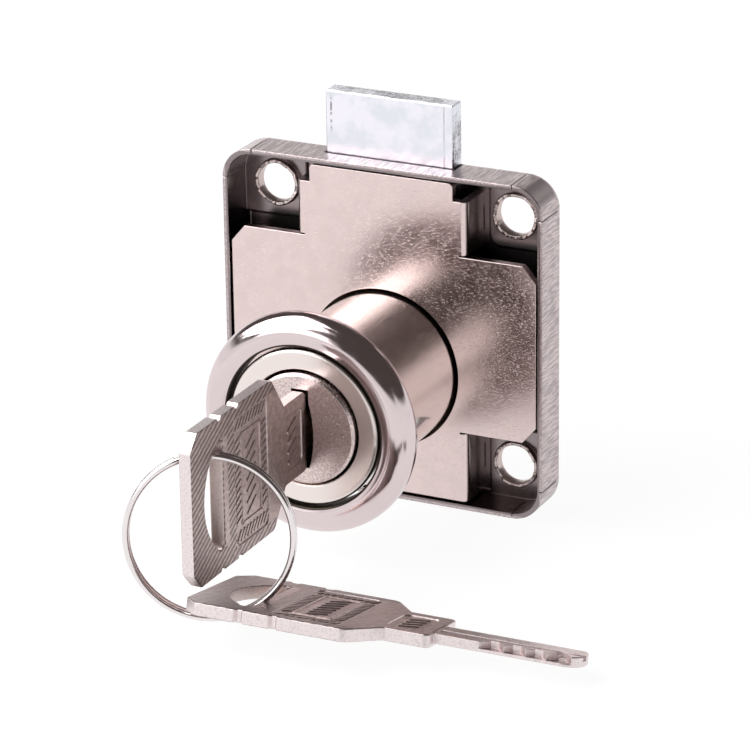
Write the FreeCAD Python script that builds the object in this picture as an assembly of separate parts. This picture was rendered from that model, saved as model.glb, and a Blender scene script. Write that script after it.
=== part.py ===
import FreeCAD, Part
import math
import os

V = FreeCAD.Vector

# Frame, in millimetres: origin on the barrel axis in the plane of the case's rim, +Z up, the way the
# bolt leaves the case, and -Y towards the front, where the key goes in.

# Case tray
case_side = 41.0
case_depth = 5.7
case_rise = 4.25            # centre of the case above the barrel axis
sheet = 0.6
case_corner_r = 3.85
case_bend_r = 1.0
slit_w = 0.14
slit_floor = 1.5            # uncut wall between a slit and the back
screw_inset = 5.1           # screw hole to the case's outer faces
screw_hole_r = 2.4
lip_w = 0.4                 # wall of the drawn lip round a screw hole
lip_h = 0.65
pad_h = 0.5                 # height of the embossed corner pads
pad_side_x = 3.7            # screw hole to the pad's edge, across
pad_side_z = 4.4            # and up or down
pad_corner_r = 1.5
pad_edge_r = 0.35

# Cover plate
cover_sink = 0.2            # cover's face behind the rim
cover_t = 1.0
cover_gap = 0.3             # to the case walls
tab_half_w = 9.15
tab_h = 2.1
channel_half_w = 10.9
channel_bend_r = 0.8
arm_half_h = 10.85
arm_chamfer_x = 1.7
arm_chamfer_z = 2.0
bend_relief = 0.2
stake_len = 3.0
stake_gap = 0.04

# Barrel and body
barrel_r = 9.4
barrel_reach = 20.5         # from the rim plane to the front face
barrel_edge_r = 0.5
cover_hole_gap = 0.37       # barrel to the cover's hole
mouth_w = 0.35
mouth_d = 0.8
flange_side = 3.6           # flange beyond the barrel, to the left and right
flange_top = 9.0
flange_bottom = 6.2
flange_rim = 1.2            # round part of the flange beyond the barrel
foot_w = 3.6
foot_half_h = 6.0

# Trim collar
collar_hole_gap = 0.45
collar_w = 3.35
collar_t = 0.5
collar_crown = 0.42         # crown's place across the collar's width, as a share of it
collar_front = 0.3          # crown in front of the barrel's face
collar_lip = 0.6            # inner lip behind the barrel's face
collar_skirt_y = 1.8        # outer edge of the dome behind the barrel's face
collar_skirt = 0.6

# Plug and driver cam
plug_r = 6.65
plug_gap = 0.05
plug_proud = 0.5            # in front of the barrel
plug_edge = 0.3
cam_r = 8.0
cam_t = 1.6
cam_gap = 0.1
tenon_side = 5.0
tenon_gap = 0.02
crank_r = 1.2
crank_gap = 0.15

# Bolt
bolt_w = 16.3
bolt_t = 2.35
bolt_proud = 7.6            # out of the case
bolt_throw = 8.0
bolt_tail = 10.0            # below the crank's top position
bolt_edge = 0.15
bolt_side_gap = 0.15
bolt_back_gap = 0.05
bolt_front_gap = 0.1
bolt_slot_gap = 0.3

# Wafers and their springs
wafer_count = 5
wafer_pitch = 2.5
wafer_first = 4.05          # behind the plug's face
wafer_t = 1.0
wafer_w = 5.2
wafer_end_gap = 0.15
wafer_slot_gap = 0.05
wafer_drop = 0.9            # when the key leaves
window_gap = 0.1
ear_w = 1.5
ear_h = 1.0
spring_r = 0.6
spring_wall = 0.25
spring_h = 2.4

# Keyway, across and up from the plug's axis
keyway_left = 0.45
keyway_arm = 1.15
keyway_right = 0.98
keyway_bulge = 1.53
keyway_top = 4.8
keyway_arm_h = 0.75
keyway_bottom = 4.6
keyway_end_gap = 0.9

# Keys: u along the key from the bow's end, v across it, w through its thickness
key_t = 1.5
bow_len = 18.92
bow_half_h = 9.03
bow_chamfer_u = 1.7
bow_chamfer_v = 1.9
bow_slant = 2.94
bow_corner_r = 1.2
neck_half_h = 4.8
neck_len = 5.29
neck_corner_r = 0.8
blade_past_wafers = 2.48    # blade beyond the last wafer
blade_back = 0.4            # blade's back face from the key's middle
blade_top = 1.5
blade_bottom = 3.45
blade_step = 0.76           # where the lowered top edge starts
blade_step_d = 0.4
groove_top = 1.2
groove_w = 0.8
groove_d = 0.5
cut_flat = 1.2
cut_ramp = 0.5
cut_ledge = 0.35            # uncut edge behind the cuts, through the blade's thickness
cuts = (0.0, 1.25, 1.1, 1.05, 1.45)
nose_r = 2.3
shoulder_gap = 0.03
ring_slot_front = 7.7
ring_slot_corner = 5.5
ring_slot_back = 2.5
ring_slot_half_h = 6.3
ring_slot_r = 0.6
notch_u = (6.7, 10.7)
notch_w = 1.0
notch_d = 0.4
panel_from = 9.9
panel_len = 7.7
panel_half_h = 7.6
panel_d = 0.12
panel_r = 0.8
neck_panel_from = 21.6
neck_panel_len = 4.3
neck_panel_half_h = 3.3

# Key ring, hung in both bows
ring_r = 9.19
ring_wire = 0.75
ring_pitch = 1.2
ring_turn = 21.48           # ring's axis away from -Y, towards +X
ring_lean = 6.64            # and above the horizontal
ring_jog = 60.0             # angle in which the wire steps to its second turn
ring_jog_at = 175.0
ring_in_slot_u = 0.98       # ring's top from the middle of the slot
ring_in_slot_v = 4.69
ring_in_slot_w = -0.42

# Spare key as it lies, from the ring's lowest point
spare_from_ring = (-1.62, 3.8, 1.0)
spare_yaw = 6.416
spare_pitch = 0.829
spare_roll = -13.79

# Places worked out from the sizes above
case_half = case_side / 2
inner_half = case_half - sheet
floor_y = case_depth - sheet
screw_at = case_half - screw_inset
pad_y = floor_y - pad_h
cover_back = cover_sink + cover_t
barrel_front = -barrel_reach
plug_front = barrel_front - plug_proud
bore_r = plug_r + plug_gap
bolt_back = floor_y - bolt_back_gap
bolt_front = bolt_back - bolt_t
flange_back = bolt_front - bolt_front_gap
cam_front = flange_back - cam_t
crank_e = bolt_throw / 2
bolt_top = case_rise + case_half + bolt_proud
guide_x = bolt_w / 2 + bolt_side_gap
ear_inner = wafer_w / 2
ear_high = ear_h / 2
spring_top = ear_high + spring_h
wafer_ys = [plug_front + wafer_first + i * wafer_pitch for i in range(wafer_count)]
blade_front_w = key_t / 2
blade_len = shoulder_gap + wafer_first + (wafer_count - 1) * wafer_pitch + blade_past_wafers
shoulder_u = bow_len + bow_slant + neck_len
tip_u = shoulder_u + blade_len
key_origin = V(0, plug_front - shoulder_gap - shoulder_u, 0)


def corner_arc(before, here, after, radius):
    """Start, middle and end of the arc that rounds one corner of an outline."""
    to_before = (before - here).normalize()
    to_after = (after - here).normalize()
    half = math.acos(max(-1.0, min(1.0, to_before.dot(to_after)))) / 2
    reach = radius / math.tan(half)
    inward = (to_before + to_after).normalize()
    middle = here + inward * (radius / math.sin(half) - radius)
    return here + to_before * reach, middle, here + to_after * reach


def outline(corners):
    """Closed wire in the XY plane through (x, y, radius) corners."""
    points = [V(x, y, 0) for x, y, radius in corners]
    count = len(points)
    arcs = []
    for i, (x, y, radius) in enumerate(corners):
        if radius > 0:
            arcs.append(corner_arc(points[i - 1], points[i], points[(i + 1) % count], radius))
        else:
            arcs.append((points[i], None, points[i]))
    edges = []
    for i, (start, middle, end) in enumerate(arcs):
        if middle:
            edges.append(Part.Arc(start, middle, end).toShape())
        following = arcs[(i + 1) % count][0]
        if end.distanceToPoint(following) > 1e-6:
            edges.append(Part.LineSegment(end, following).toShape())
    return Part.Wire(edges)


def slab(corners, low, high):
    """Prism of an outline in the XY plane, from z = low to z = high."""
    wire = outline(corners)
    wire.translate(V(0, 0, low))
    return Part.Face(wire).extrude(V(0, 0, high - low))


def upright(shape):
    """Turns a prism drawn in the XY plane so that its y is +Z and its z is -Y."""
    shape.rotate(V(0, 0, 0), V(1, 0, 0), 90)
    return shape


def plate(corners, front, back):
    """Prism of an (x, z, radius) outline, between two depths along Y."""
    return upright(slab(corners, -back, -front))


def block(x0, x1, y0, y1, z0, z1):
    return Part.makeBox(x1 - x0, y1 - y0, z1 - z0, V(x0, y0, z0))


def rod(radius, front, back, x=0.0, z=0.0):
    return Part.makeCylinder(radius, back - front, V(x, front, z), V(0, 1, 0))


def rectangle(half_x, half_z, radius, rise=0.0):
    return [(-half_x, rise - half_z, radius), (half_x, rise - half_z, radius),
            (half_x, rise + half_z, radius), (-half_x, rise + half_z, radius)]


def edges_at_depth(shape, depth):
    """Edges that lie whole in the plane y = depth."""
    return [edge for edge in shape.Edges
            if abs(edge.BoundBox.YMin - depth) < 1e-6 and abs(edge.BoundBox.YMax - depth) < 1e-6]


def tray_block(half, corner, front, back, bend):
    """Square block with rounded corners and a rounded back edge."""
    solid = plate(rectangle(half, half, corner, case_rise), front, back)
    return solid.makeFillet(bend, edges_at_depth(solid, back))


def screw_corner(shape, filled, side_x, side_z):
    """Adds one embossed pad with its drawn screw hole to the tray."""
    x = side_x * screw_at
    z = case_rise + side_z * screw_at
    inner_x = x - side_x * pad_side_x
    inner_z = z - side_z * pad_side_z
    wall_x = side_x * (inner_half + sheet / 2)
    wall_z = case_rise + side_z * (inner_half + sheet / 2)
    corners = [(inner_x, inner_z, pad_corner_r), (wall_x, inner_z, 0),
               (wall_x, wall_z, 0), (inner_x, wall_z, 0)]
    pad = plate(corners, pad_y, floor_y + sheet / 2)
    pad = pad.makeFillet(pad_edge_r, edges_at_depth(pad, pad_y))
    shape = shape.fuse(pad.common(filled))
    dent_x = inner_x + side_x * sheet
    dent_z = inner_z + side_z * sheet
    dent_wall_x = side_x * (inner_half - sheet)
    dent_wall_z = case_rise + side_z * (inner_half - sheet)
    dent = [(dent_x, dent_z, pad_corner_r), (dent_wall_x, dent_z, pad_edge_r),
            (dent_wall_x, dent_wall_z, case_corner_r - sheet), (dent_x, dent_wall_z, pad_edge_r)]
    shape = shape.cut(plate(dent, case_depth - pad_h, case_depth + sheet))
    shape = shape.fuse(rod(screw_hole_r + lip_w, pad_y - lip_h, floor_y, x, z))
    return shape.cut(rod(screw_hole_r, pad_y - lip_h - sheet, case_depth + sheet, x, z))


def corner_slits():
    """Two slits at each corner, where the rounded corner tab parts from the walls."""
    at = case_half - case_corner_r
    low = inner_half - sheet
    high = case_half + sheet
    back = case_depth - slit_floor
    half = slit_w / 2
    slits = []
    for side in (-1, 1):
        for along in (-at, at):
            z0, z1 = sorted((side * low, side * high))
            slits.append(block(along - half, along + half, -sheet, back, case_rise + z0, case_rise + z1))
            slits.append(block(z0, z1, -sheet, back, case_rise + along - half, case_rise + along + half))
    return slits


def flange_spans():
    """Lower and upper end of the cover's bent flanges, above and below its arms."""
    top = case_rise + inner_half - cover_gap - tab_h
    bottom = case_rise - inner_half + cover_gap
    return ((case_rise + arm_half_h + bend_relief, top),
            (bottom, case_rise - arm_half_h - bend_relief))


def stakes(gap):
    """Tabs that go from the cover's flanges through the tray's floor."""
    parts = []
    for low, high in flange_spans():
        middle = (low + high) / 2
        z0 = middle - stake_len / 2 - gap
        z1 = middle + stake_len / 2 + gap
        for side in (-1, 1):
            x0, x1 = sorted((side * (channel_half_w - cover_t - gap), side * (channel_half_w + gap)))
            parts.append(block(x0, x1, floor_y, case_depth, z0, z1))
    return parts


def make_case_tray():
    filled = tray_block(case_half, case_corner_r, 0, case_depth, case_bend_r)
    inside = tray_block(inner_half, case_corner_r - sheet, -sheet, floor_y, case_bend_r - sheet)
    shape = filled.cut(inside)
    for side_x in (-1, 1):
        for side_z in (-1, 1):
            shape = screw_corner(shape, filled, side_x, side_z)
    top = case_rise + case_half
    half = bolt_w / 2 + bolt_slot_gap
    bolt_way = block(-half, half, bolt_front - bolt_slot_gap, floor_y,
                     top - sheet - case_bend_r, top + sheet)
    return shape.cut(corner_slits() + stakes(stake_gap) + [bolt_way])


def cover_outline():
    """Half of the cover's outline, from the bottom up, and its mirror image."""
    bottom = case_rise - inner_half + cover_gap
    top = case_rise + inner_half - cover_gap
    arm_x = inner_half - cover_gap
    arm_top = case_rise + arm_half_h
    arm_bottom = case_rise - arm_half_h
    channel = channel_half_w - cover_t
    half = [(channel, bottom, 0), (channel, arm_bottom, 0),
            (arm_x - arm_chamfer_x, arm_bottom, 0), (arm_x, arm_bottom + arm_chamfer_z, 0),
            (arm_x, arm_top - arm_chamfer_z, 0), (arm_x - arm_chamfer_x, arm_top, 0),
            (channel, arm_top, 0), (channel, top - tab_h, 0),
            (tab_half_w, top - tab_h, 0), (tab_half_w, top, barrel_edge_r)]
    return half + [(-x, z, radius) for x, z, radius in reversed(half)]


def make_cover_plate():
    shape = plate(cover_outline(), cover_sink, cover_back)
    for low, high in flange_spans():
        for side in (-1, 1):
            outer = side * channel_half_w
            inner = side * (channel_half_w - cover_t)
            root = side * (channel_half_w - 2 * cover_t)
            bend = [(root, cover_sink, 0), (outer, cover_sink, channel_bend_r), (outer, floor_y, 0),
                    (inner, floor_y, 0), (inner, cover_back, 0), (root, cover_back, 0)]
            shape = shape.fuse(slab(bend, low, high))
    shape = shape.fuse(stakes(0)).removeSplitter()
    return shape.cut(rod(barrel_r + cover_hole_gap, cover_sink - sheet, cover_back + sheet))


def make_cylinder_body():
    barrel = rod(barrel_r, barrel_front, flange_back)
    barrel = barrel.makeFillet(barrel_edge_r, edges_at_depth(barrel, barrel_front))
    flange_half_h = (flange_top + flange_bottom) / 2
    flange = rectangle(barrel_r + flange_side, flange_half_h, barrel_edge_r, flange_top - flange_half_h)
    added = [plate(flange, cover_back, flange_back), rod(barrel_r + flange_rim, cover_back, flange_back)]
    for side in (-1, 1):
        x0, x1 = sorted((side * guide_x, side * (guide_x + foot_w)))
        added.append(block(x0, x1, flange_back, floor_y, -foot_half_h, foot_half_h))
    shape = barrel.fuse(added)
    mouth = Part.makeCone(bore_r + mouth_w, bore_r, mouth_d, V(0, barrel_front, 0), V(0, 1, 0))
    groove_half = wafer_w / 2 + 3 * wafer_slot_gap
    groove_z = bore_r + wafer_drop + wafer_end_gap
    groove = block(-groove_half, groove_half, wafer_ys[0] - wafer_t, wafer_ys[-1] + wafer_t,
                   -groove_z, groove_z)
    cutters = [rod(bore_r, barrel_front - sheet, flange_back), mouth, groove,
               rod(cam_r + cam_gap, cam_front - cam_gap, flange_back + sheet)]
    return shape.cut(cutters).removeSplitter()


def make_trim_collar():
    hole = barrel_r + collar_hole_gap
    outer = hole + collar_w
    crown = hole + collar_w * collar_crown
    lip_y = barrel_front + collar_lip
    crown_y = barrel_front - collar_front
    edge_y = barrel_front + collar_skirt_y
    skirt_y = edge_y + collar_skirt
    points = [V(hole, lip_y, 0), V(crown, crown_y, 0), V(outer, edge_y, 0), V(outer, skirt_y, 0),
              V(outer - collar_t, skirt_y, 0), V(outer - collar_t, edge_y + collar_t / 4, 0),
              V(crown, crown_y + collar_t, 0), V(hole + collar_t, lip_y + collar_t / 2, 0),
              V(hole, lip_y + collar_t, 0)]
    edges = [Part.Arc(points[0], points[1], points[2]).toShape(),
             Part.LineSegment(points[2], points[3]).toShape(),
             Part.LineSegment(points[3], points[4]).toShape(),
             Part.LineSegment(points[4], points[5]).toShape(),
             Part.Arc(points[5], points[6], points[7]).toShape(),
             Part.LineSegment(points[7], points[8]).toShape(),
             Part.LineSegment(points[8], points[0]).toShape()]
    return Part.Face(Part.Wire(edges)).revolve(V(0, 0, 0), V(0, 1, 0), 360)


def keyway():
    """Slot of the key, open at the plug's face."""
    arm_z = keyway_top - keyway_arm_h
    depth = tip_u - shoulder_u + keyway_end_gap
    points = [V(-keyway_left, -keyway_bottom, 0), V(keyway_right, -keyway_bottom, 0),
              V(keyway_right, arm_z - keyway_arm_h, 0), V(keyway_right, keyway_top, 0),
              V(-keyway_arm, keyway_top, 0), V(-keyway_arm, arm_z, 0), V(-keyway_left, arm_z, 0)]
    edges = [Part.LineSegment(points[0], points[1]).toShape(),
             Part.Arc(points[1], V(keyway_bulge, 0, 0), points[2]).toShape()]
    for start, end in zip(points[2:], points[3:] + points[:1]):
        edges.append(Part.LineSegment(start, end).toShape())
    face = Part.Face(Part.Wire(edges))
    face.translate(V(0, 0, -plug_front - depth))
    return upright(face.extrude(V(0, 0, depth)))


def make_plug():
    shape = rod(plug_r, plug_front, cam_front)
    shape = shape.makeChamfer(plug_edge, edges_at_depth(shape, plug_front))
    half = tenon_side / 2
    shape = shape.fuse(block(-half, half, cam_front, flange_back, -half, half))
    cutters = [keyway()]
    slot_half = wafer_w / 2 + wafer_slot_gap
    for y in wafer_ys:
        front = y - wafer_t / 2 - wafer_slot_gap
        back = y + wafer_t / 2 + wafer_slot_gap
        cutters.append(block(-slot_half, slot_half, front, back, -2 * plug_r, 2 * plug_r))
        pocket_front = y - spring_r - wafer_slot_gap
        pocket_back = y + spring_r + wafer_slot_gap
        cutters.append(block(ear_inner - wafer_slot_gap, ear_inner + ear_w + 2 * wafer_slot_gap,
                             pocket_front, pocket_back, -ear_high - wafer_drop - wafer_end_gap, spring_top))
    return shape.cut(cutters).removeSplitter()


def make_driver_cam():
    disc = rod(cam_r, cam_front, flange_back)
    crank = rod(crank_r, flange_back, bolt_back - crank_gap, 0, crank_e)
    half = tenon_side / 2 + tenon_gap
    hole = block(-half, half, cam_front - sheet, flange_back, -half, half)
    return disc.cut(hole).fuse(crank).removeSplitter()


def crank_way():
    """Outline of the bolt's slot: the crank's path at a steady ratio of bolt travel to turn, widened."""
    reach = crank_r + crank_gap
    steps = 8
    upper = []
    for i in range(steps + 1):
        turn = math.pi / 2 * i / steps
        x = crank_e * math.sin(turn)
        z = crank_e * (math.cos(turn) + 2 * turn / math.pi - 1)
        across = V(crank_e * math.cos(turn), crank_e * (2 / math.pi - math.sin(turn)), 0).normalize()
        upper.append((x - across.y * reach, z + across.x * reach))
    outer = upper[-1][0] + reach
    upper = [(-reach, 0.0), (-reach, reach)] + [(x, max(z, reach)) for x, z in upper if x > 0]
    upper.append((outer, reach))
    upper.append((outer, 0.0))
    lower = [(x, -z) for x, z in reversed(upper)]
    return [(x, crank_e + z, 0) for x, z in upper + lower[1:-1]]


def make_bolt():
    half = bolt_w / 2
    bottom = crank_e - bolt_tail
    middle = (bolt_top + bottom) / 2
    shape = plate(rectangle(half, (bolt_top - bottom) / 2, 0, middle), bolt_front, bolt_back)
    shape = shape.makeChamfer(bolt_edge, shape.Edges)
    return shape.cut(plate(crank_way(), bolt_front - sheet, bolt_back + sheet))


def make_wafer(y):
    front = y - wafer_t / 2
    back = y + wafer_t / 2
    half = wafer_w / 2
    body = rod(plug_r - wafer_end_gap, front, back).common(block(-half, half, front, back, -plug_r, plug_r))
    ear = block(0, ear_inner + ear_w, front, back, -ear_high, ear_high)
    window = block(-blade_back - window_gap, blade_front_w + window_gap, front - sheet, back + sheet,
                   -blade_bottom - window_gap, blade_top + wafer_drop + window_gap)
    return body.fuse(ear).cut(window).removeSplitter()


def make_wafer_spring(y):
    """Envelope of the small coil that pushes one wafer down."""
    seat = V(ear_inner + ear_w / 2, y, ear_high)
    outer = Part.makeCylinder(spring_r, spring_h, seat)
    core = Part.makeCylinder(spring_r - spring_wall, spring_h, seat)
    return outer.cut(core)


def blade_cuts():
    """Cuts in the blade's lower edge, one over each wafer."""
    cutters = []
    for y, depth in zip(wafer_ys, cuts):
        middle = y - key_origin.y
        if depth > 0:
            wide = cut_flat / 2 + cut_ramp * 2
            corners = [(middle - wide, -blade_bottom - depth, 0), (middle + wide, -blade_bottom - depth, 0),
                       (middle + cut_flat / 2, depth - blade_bottom, 0),
                       (middle - cut_flat / 2, depth - blade_bottom, 0)]
            cutters.append(slab(corners, cut_ledge - blade_back, key_t))
    return cutters


def make_blade():
    front = blade_front_w
    corners = [(shoulder_u, -blade_bottom, 0), (tip_u, -blade_bottom, nose_r),
               (tip_u, blade_top, nose_r), (shoulder_u, blade_top, 0)]
    shape = slab(corners, -blade_back, front)
    step_at = V(shoulder_u, blade_step, front - blade_step_d)
    groove_at = V(shoulder_u, -groove_top - groove_w, front - groove_d)
    lowered = Part.makeBox(blade_len * 2, blade_top, key_t, step_at)
    groove = Part.makeBox(blade_len * 2, groove_w, key_t, groove_at)
    return shape.cut([lowered, groove] + blade_cuts())


def make_key_shape():
    """A whole key in its own u, v, w coordinates."""
    half_t = key_t / 2
    neck_u = bow_len + bow_slant
    corners = [(0, -bow_half_h + bow_chamfer_v, 0), (bow_chamfer_u, -bow_half_h, 0),
               (bow_len, -bow_half_h, bow_corner_r), (neck_u, -neck_half_h, 0),
               (shoulder_u, -neck_half_h, neck_corner_r), (shoulder_u, neck_half_h, neck_corner_r),
               (neck_u, neck_half_h, 0),
               (bow_len, bow_half_h, bow_corner_r), (bow_chamfer_u, bow_half_h, 0),
               (0, bow_half_h - bow_chamfer_v, 0)]
    shape = slab(corners, -half_t, half_t)
    slot_points = [V(ring_slot_front, -ring_slot_half_h, 0), V(ring_slot_front, ring_slot_half_h, 0),
                   V(ring_slot_corner, ring_slot_half_h, 0), V(ring_slot_corner, -ring_slot_half_h, 0)]
    slot_edges = [Part.LineSegment(slot_points[0], slot_points[1]).toShape(),
                  Part.LineSegment(slot_points[1], slot_points[2]).toShape(),
                  Part.Arc(slot_points[2], V(ring_slot_back, 0, 0), slot_points[3]).toShape(),
                  Part.LineSegment(slot_points[3], slot_points[0]).toShape()]
    slot_face = Part.Face(Part.Wire(slot_edges))
    slot_face.translate(V(0, 0, -key_t))
    slot = slot_face.extrude(V(0, 0, 2 * key_t))
    corner_edges = [edge for edge in slot.Edges
                    if abs(edge.BoundBox.XMax - ring_slot_front) < 1e-6 and edge.BoundBox.ZLength > key_t]
    slot = slot.makeFillet(ring_slot_r, corner_edges)
    cutters = [slot]
    for u in notch_u:
        for side in (-1, 1):
            outer = side * (bow_half_h + notch_d)
            inner = side * (bow_half_h - notch_d)
            corners = [(u - notch_w / 2, outer, 0), (u - notch_w / 4, inner, 0),
                       (u + notch_w / 4, inner, 0), (u + notch_w / 2, outer, 0)]
            cutters.append(slab(corners, -key_t, key_t))
    for start, length, half_h in ((panel_from, panel_len, panel_half_h),
                                  (neck_panel_from, neck_panel_len, neck_panel_half_h)):
        corners = [(x + start + length / 2, y, radius)
                   for x, y, radius in rectangle(length / 2, half_h, panel_r)]
        for face in (-1, 1):
            low, high = sorted((face * (half_t - panel_d), face * key_t))
            cutters.append(slab(corners, low, high))
    return shape.cut(cutters).fuse(make_blade()).removeSplitter()


def make_key_in_lock():
    """Key with its u along +Y, v along +Z and w along +X."""
    shape = make_key_shape()
    shape.rotate(V(0, 0, 0), V(1, 0, 0), 90)
    shape.rotate(V(0, 0, 0), V(0, 0, 1), 90)
    shape.translate(key_origin)
    return shape


def ring_axes():
    """The ring's axis, and the directions across and up in its plane."""
    turn = math.radians(ring_turn)
    lean = math.radians(ring_lean)
    axis = V(math.sin(turn) * math.cos(lean), -math.cos(turn) * math.cos(lean), math.sin(lean))
    across = V(0, 0, 1).cross(axis).normalize()
    return axis, across, axis.cross(across)


def ring_middle():
    """Centre of the ring, hung from its top in the key's slot."""
    axis, across, up = ring_axes()
    slot_u = (ring_slot_front + ring_slot_back) / 2 + ring_in_slot_u
    return key_origin + V(ring_in_slot_w, slot_u, ring_in_slot_v) - up * ring_r


def biarc(start, leave, end, arrive):
    """Two tangent arcs from a point and direction to another."""
    span = end - start
    both = leave + arrive
    spread = 2 * (1 - leave.dot(arrive))
    along = span.dot(both)
    if spread < 1e-9:
        reach = span.dot(span) / (2 * along)
    else:
        reach = (math.sqrt(along * along + spread * span.dot(span)) - along) / spread
    first = start + leave * reach
    second = end - arrive * reach
    joint = (first + second) * 0.5
    arcs = []
    for a, peak, b in ((start, first, joint), (joint, second, end)):
        chord = a.distanceToPoint(b) / 2
        half = math.acos(min(1.0, chord / reach))
        middle = (a + b) * 0.5
        bulge = math.tan(half / 2) / math.tan(half)
        arcs.append(Part.Arc(a, middle + (peak - middle) * bulge, b).toShape())
    return arcs


def ring_path():
    """Two flat turns, side by side, joined by a step in the wire."""
    axis, across, up = ring_axes()
    middle = ring_middle()
    flat = (360.0 - ring_jog) / 4
    stations = [(ring_jog_at + ring_jog + flat * i, -ring_pitch / 2) for i in range(5)]
    stations += [(ring_jog_at + 360 + ring_jog + flat * i, ring_pitch / 2) for i in range(5)]
    edges = []
    for (angle_a, side_a), (angle_b, side_b) in zip(stations, stations[1:]):
        ends = []
        for angle, side in ((angle_a, side_a), (angle_b, side_b)):
            turn = math.radians(angle)
            out = across * math.cos(turn) + up * math.sin(turn)
            along = up * math.cos(turn) - across * math.sin(turn)
            ends.append((middle + out * ring_r + axis * side, along))
        edges += biarc(ends[0][0], ends[0][1], ends[1][0], ends[1][1])
    return edges


def print_ring_gap(edges):
    """Least gap between the two turns, measured on points of the wire's middle line."""
    points = []
    for edge in edges:
        points += edge.discretize(12)[:-1]
    lengths = [0.0]
    for a, b in zip(points, points[1:]):
        lengths.append(lengths[-1] + a.distanceToPoint(b))
    far = math.pi * ring_wire * 2
    least = min(a.distanceToPoint(b) for i, a in enumerate(points) for j, b in enumerate(points)
                if lengths[j] - lengths[i] > far)
    print("key_ring: least gap to itself", round(least - ring_wire, 3), "mm")


def make_key_ring():
    edges = ring_path()
    print_ring_gap(edges)
    path = Part.Wire(edges)
    start = edges[0].Curve.value(edges[0].FirstParameter)
    leave = edges[0].tangentAt(edges[0].FirstParameter)
    section = Part.Wire(Part.makeCircle(ring_wire / 2, start, leave))
    return path.makePipeShell([section], True, False)


def make_spare_key():
    """The spare key as it lies on the ring and on the ground under the lock."""
    axis, across, up = ring_axes()
    at = ring_middle() - up * ring_r + V(*spare_from_ring)
    turn = FreeCAD.Rotation(V(1, 0, 0), spare_roll)
    turn = turn.multiply(FreeCAD.Rotation(V(0, 1, 0), spare_pitch))
    turn = turn.multiply(FreeCAD.Rotation(V(0, 0, 1), spare_yaw))
    shape = make_key_shape()
    shape.Placement = FreeCAD.Placement(at, turn)
    return shape


def save(name, shape):
    solids = shape.Solids
    if len(solids) != 1 or not shape.isValid():
        print("look at", name, "solids", len(solids), "valid", shape.isValid())
    solids[0].exportStep(os.path.join("parts", name + ".step"))


os.makedirs("parts", exist_ok=True)
save("case_tray", make_case_tray())
save("cover_plate", make_cover_plate())
save("cylinder_body", make_cylinder_body())
save("trim_collar", make_trim_collar())
save("plug", make_plug())
save("driver_cam", make_driver_cam())
save("bolt", make_bolt())
for number, wafer_y in enumerate(wafer_ys, 1):
    save("wafer_" + str(number), make_wafer(wafer_y))
    save("wafer_spring_" + str(number), make_wafer_spring(wafer_y))
save("key_in_lock", make_key_in_lock())
save("spare_key", make_spare_key())
save("key_ring", make_key_ring())
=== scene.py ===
import math

import bpy
import bmesh
from mathutils import Matrix, Vector


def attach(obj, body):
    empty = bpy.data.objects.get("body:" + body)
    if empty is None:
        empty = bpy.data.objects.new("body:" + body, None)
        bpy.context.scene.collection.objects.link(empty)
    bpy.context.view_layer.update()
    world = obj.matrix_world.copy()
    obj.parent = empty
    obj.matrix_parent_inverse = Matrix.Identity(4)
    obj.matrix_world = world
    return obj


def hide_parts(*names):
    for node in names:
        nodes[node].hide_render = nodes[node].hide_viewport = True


MM = 0.001

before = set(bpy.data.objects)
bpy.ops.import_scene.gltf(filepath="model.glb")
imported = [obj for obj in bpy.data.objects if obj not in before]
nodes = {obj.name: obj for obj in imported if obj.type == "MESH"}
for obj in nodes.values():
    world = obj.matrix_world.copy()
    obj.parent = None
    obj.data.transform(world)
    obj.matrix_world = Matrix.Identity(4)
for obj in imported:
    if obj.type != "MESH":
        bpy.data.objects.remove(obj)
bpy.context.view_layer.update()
scene = bpy.context.scene
scene.view_settings.view_transform = "Standard"


# Sizes of the part that metals and meshes refer to, in millimetres from the barrel's axis and the rim
CASE_RISE = 4.25        # centre of the case above the barrel's axis
SCREW_AT = 15.4         # screw hole from the case's centre, across and up
BARREL_R = 9.4
BARREL_FRONT = -20.5
KEY_STOP = -21.03       # where a key's shoulder stands, just in front of the plug


# Camera, from the fit of the photograph: angles in degrees, lengths in millimetres
AZIMUTH = 26.214
ELEVATION = 21.18
ROLL = -0.831
AIM_RIGHT = -0.759
AIM_UP = -4.782
AIM_Z = 4.244
DISTANCE = 472.387
FOCAL_PIXELS = 4041.22
FRAME_PIXELS = 750.0
SENSOR = 36.0


def make_camera():
    az = math.radians(AZIMUTH)
    el = math.radians(ELEVATION)
    roll = math.radians(ROLL)
    back = Vector((math.sin(az) * math.cos(el), -math.cos(az) * math.cos(el), math.sin(el)))
    right = Vector((math.cos(az), math.sin(az), 0))
    up = back.cross(right)
    right_rolled = right * math.cos(roll) + up * math.sin(roll)
    up_rolled = up * math.cos(roll) - right * math.sin(roll)
    spot = back * DISTANCE + right_rolled * AIM_RIGHT + up_rolled * AIM_UP + Vector((0, 0, AIM_Z))
    data = bpy.data.cameras.new("camera")
    data.sensor_width = SENSOR
    data.lens = FOCAL_PIXELS * SENSOR / FRAME_PIXELS
    data.clip_start = 0.01
    data.clip_end = 10
    camera = bpy.data.objects.new("camera", data)
    axes = Matrix((right_rolled, up_rolled, back)).transposed()
    camera.matrix_world = Matrix.Translation(spot * MM) @ axes.to_4x4()
    scene.collection.objects.link(camera)
    scene.camera = camera


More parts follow.
